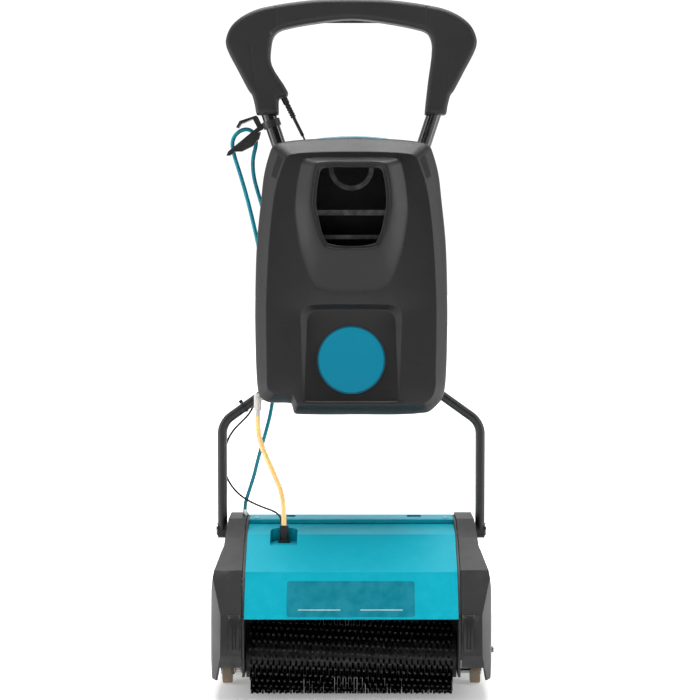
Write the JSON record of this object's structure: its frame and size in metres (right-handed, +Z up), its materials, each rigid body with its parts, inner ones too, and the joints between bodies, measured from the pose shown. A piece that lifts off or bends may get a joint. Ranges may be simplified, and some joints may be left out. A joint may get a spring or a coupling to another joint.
{
  "type": "upright twin-brush carpet cleaner",
  "caption": "Upright floor and carpet scrubber with contra-rotating brushes under a teal cover, a tilting yoke with solution tank, a loop grip and a stored mains cable.",
  "frame": {"origin": "on the floor under the middle of the brush head", "axes": "+Z up along the upright handle, front of the machine towards -Y, +X to the right seen from the front"},
  "size_m": [0.485, 0.377, 1.186],
  "materials": {
    "teal_cover": "satin moulded",
    "tank_teal": "satin moulded",
    "pod_grey": "fine texture",
    "latch_grey": "satin",
    "bristle_black": "nylon tufts",
    "core_black": "satin",
    "gear_nylon": "moulded",
    "frame_aluminium": "black anodised",
    "steel_bright": "turned",
    "motor_paint": "satin",
    "belt_rubber": "matt",
    "bearing_bronze": "turned",
    "roller_nylon": "moulded",
    "wheel_rubber": "matt",
    "yoke_paint": "powder coat",
    "tube_paint": "gloss",
    "grip_plastic": "fine texture",
    "button_red": "gloss",
    "tank_black": "coarse texture",
    "badge_teal": "printed foil",
    "tap_white": "satin",
    "black_plastic": "satin",
    "hose_yellow": "translucent",
    "cable_teal": "satin sheath",
    "cable_black": "satin sheath",
    "bracket_paint": "powder coat",
    "lead_sleeve": "plated"
  },
  "bodies": {
    "head": {"side_frame_left": "frame_aluminium", "side_frame_right": "frame_aluminium", "tie_bars": "steel_bright", "motor_cradle": "steel_bright", "motor_body": "motor_paint", "drive_belt": "belt_rubber", "shaft_bearings": "bearing_bronze", "axle_pins": "steel_bright", "spray_bar": "black_plastic", "front_cover": "teal_cover", "hose_boot": "black_plastic", "lead_gland": "lead_sleeve", "pod_cover_left": "pod_grey", "pod_cover_right": "pod_grey", "latch_pins": "steel_bright", "pivot_pins": "steel_bright"},
    "motor_rotor": {"motor_rotor": "steel_bright"},
    "front_brush": {"front_brush_core": "core_black", "front_brush_bristles": "bristle_black", "front_brush_gear": "gear_nylon"},
    "rear_brush": {"rear_brush_core": "core_black", "rear_brush_bristles": "bristle_black", "rear_brush_gear": "gear_nylon"},
    "front_idler": {"front_idler_gear": "gear_nylon"},
    "rear_idler": {"rear_idler_gear": "gear_nylon"},
    "drum": {"recovery_drum": "gear_nylon"},
    "waste_tank": {"waste_tank": "tank_teal", "waste_tank_lid": "tank_teal", "lid_screws": "steel_bright"},
    "latch_left": {"brush_latch_left": "latch_grey"},
    "latch_right": {"brush_latch_right": "latch_grey"},
    "knob": {"adjuster_knob": "button_red"},
    "roller_left": {"roller_left": "roller_nylon"},
    "roller_right": {"roller_right": "roller_nylon"},
    "wheel_left": {"wheel_left": "wheel_rubber"},
    "wheel_right": {"wheel_right": "wheel_rubber"},
    "handle": {"yoke_arm_left": "yoke_paint", "yoke_arm_right": "yoke_paint", "mast_bracket": "bracket_paint", "mast_tube_left": "tube_paint", "mast_tube_right": "tube_paint", "grip_front_shell": "grip_plastic", "grip_rear_shell": "grip_plastic", "tank_shell": "tank_black", "tank_badge": "badge_teal", "outlet_tap": "tap_white", "cable_guide_arm": "black_plastic", "upper_cable_hook": "black_plastic", "cable_tie": "cable_black", "control_cable_boot": "cable_black", "mains_gland": "black_plastic", "mains_plug": "black_plastic", "mains_coil": "cable_teal", "solution_hose": "hose_yellow", "motor_lead": "cable_teal", "control_cable": "cable_black", "mains_cable": "cable_teal"},
    "switch_lever": {"switch_lever": "black_plastic"},
    "safety_button": {"safety_button": "button_red"},
    "cable_hook": {"lower_cable_hook": "black_plastic"}
  },
  "joints": [
    {"name": "front_brush_spin", "type": "hinge", "parent": "head", "child": "front_brush", "pos_m": [0, -0.095, 0.066], "axis": [1, 0, 0], "continuous": true},
    {"name": "rear_brush_spin", "type": "hinge", "parent": "head", "child": "rear_brush", "pos_m": [0, 0.095, 0.066], "axis": [1, 0, 0], "continuous": true},
    {"name": "front_idler_spin", "type": "hinge", "parent": "head", "child": "front_idler", "pos_m": [0, -0.0325, 0.066], "axis": [1, 0, 0], "continuous": true},
    {"name": "rear_idler_spin", "type": "hinge", "parent": "head", "child": "rear_idler", "pos_m": [0, 0.0325, 0.066], "axis": [1, 0, 0], "continuous": true},
    {"name": "drum_spin", "type": "hinge", "parent": "head", "child": "drum", "pos_m": [0, 0.012, 0.12239], "axis": [1, 0, 0], "continuous": true},
    {"name": "motor_spin", "type": "hinge", "parent": "head", "child": "motor_rotor", "pos_m": [0, -0.08, 0.188], "axis": [1, 0, 0], "continuous": true},
    {"name": "waste_tank_lift", "type": "slide", "parent": "head", "child": "waste_tank", "axis": [0, 0, 1], "range_m": [0, 0.1]},
    {"name": "latch_left_open", "type": "hinge", "parent": "head", "child": "latch_left", "pos_m": [-0.193, -0.1875, 0.145], "axis": [-1, 0, 0], "range_deg": [0, 35]},
    {"name": "latch_right_open", "type": "hinge", "parent": "head", "child": "latch_right", "pos_m": [0.193, -0.1875, 0.145], "axis": [-1, 0, 0], "range_deg": [0, 35]},
    {"name": "knob_turn", "type": "hinge", "parent": "head", "child": "knob", "pos_m": [0.24, -0.01, 0.058], "axis": [1, 0, 0], "range_deg": [-135, 135]},
    {"name": "roller_left_spin", "type": "hinge", "parent": "head", "child": "roller_left", "pos_m": [-0.2145, -0.01, 0.021], "axis": [1, 0, 0], "continuous": true},
    {"name": "roller_right_spin", "type": "hinge", "parent": "head", "child": "roller_right", "pos_m": [0.2145, -0.01, 0.021], "axis": [1, 0, 0], "continuous": true},
    {"name": "wheel_left_spin", "type": "hinge", "parent": "head", "child": "wheel_left", "pos_m": [-0.21, 0.15, 0.036], "axis": [1, 0, 0], "continuous": true},
    {"name": "wheel_right_spin", "type": "hinge", "parent": "head", "child": "wheel_right", "pos_m": [0.21, 0.15, 0.036], "axis": [1, 0, 0], "continuous": true},
    {"name": "handle_tilt", "type": "hinge", "parent": "head", "child": "handle", "pos_m": [0, 0.03, 0.262], "axis": [-1, 0, 0], "range_deg": [0, 70], "deforming": ["solution_hose", "motor_lead", "control_cable"]},
    {"name": "switch_lever_pull", "type": "hinge", "parent": "handle", "child": "switch_lever", "pos_m": [0, 0.066, 1.172], "axis": [-1, 0, 0], "range_deg": [0, 10], "stiffness_Nm_per_rad": 0.5, "springref_deg": -11.46},
    {"name": "safety_button_press", "type": "slide", "parent": "handle", "child": "safety_button", "axis": [0, 0, -1], "range_m": [0, 0.003], "stiffness_N_per_m": 200, "springref_m": -0.003},
    {"name": "cable_hook_turn", "type": "hinge", "parent": "handle", "child": "cable_hook", "pos_m": [0, 0.08, 0.59], "axis": [0, 1, 0], "range_deg": [0, 180]}
  ],
  "couplings": [
    {"joint": "rear_brush_spin", "follows": "front_brush_spin", "ratio": -1},
    {"joint": "front_idler_spin", "follows": "front_brush_spin", "ratio": -0.92308},
    {"joint": "rear_idler_spin", "follows": "front_brush_spin", "ratio": 0.92308},
    {"joint": "drum_spin", "follows": "front_brush_spin", "ratio": -1.0909},
    {"joint": "motor_spin", "follows": "front_brush_spin", "ratio": 2.1429}
  ]
}
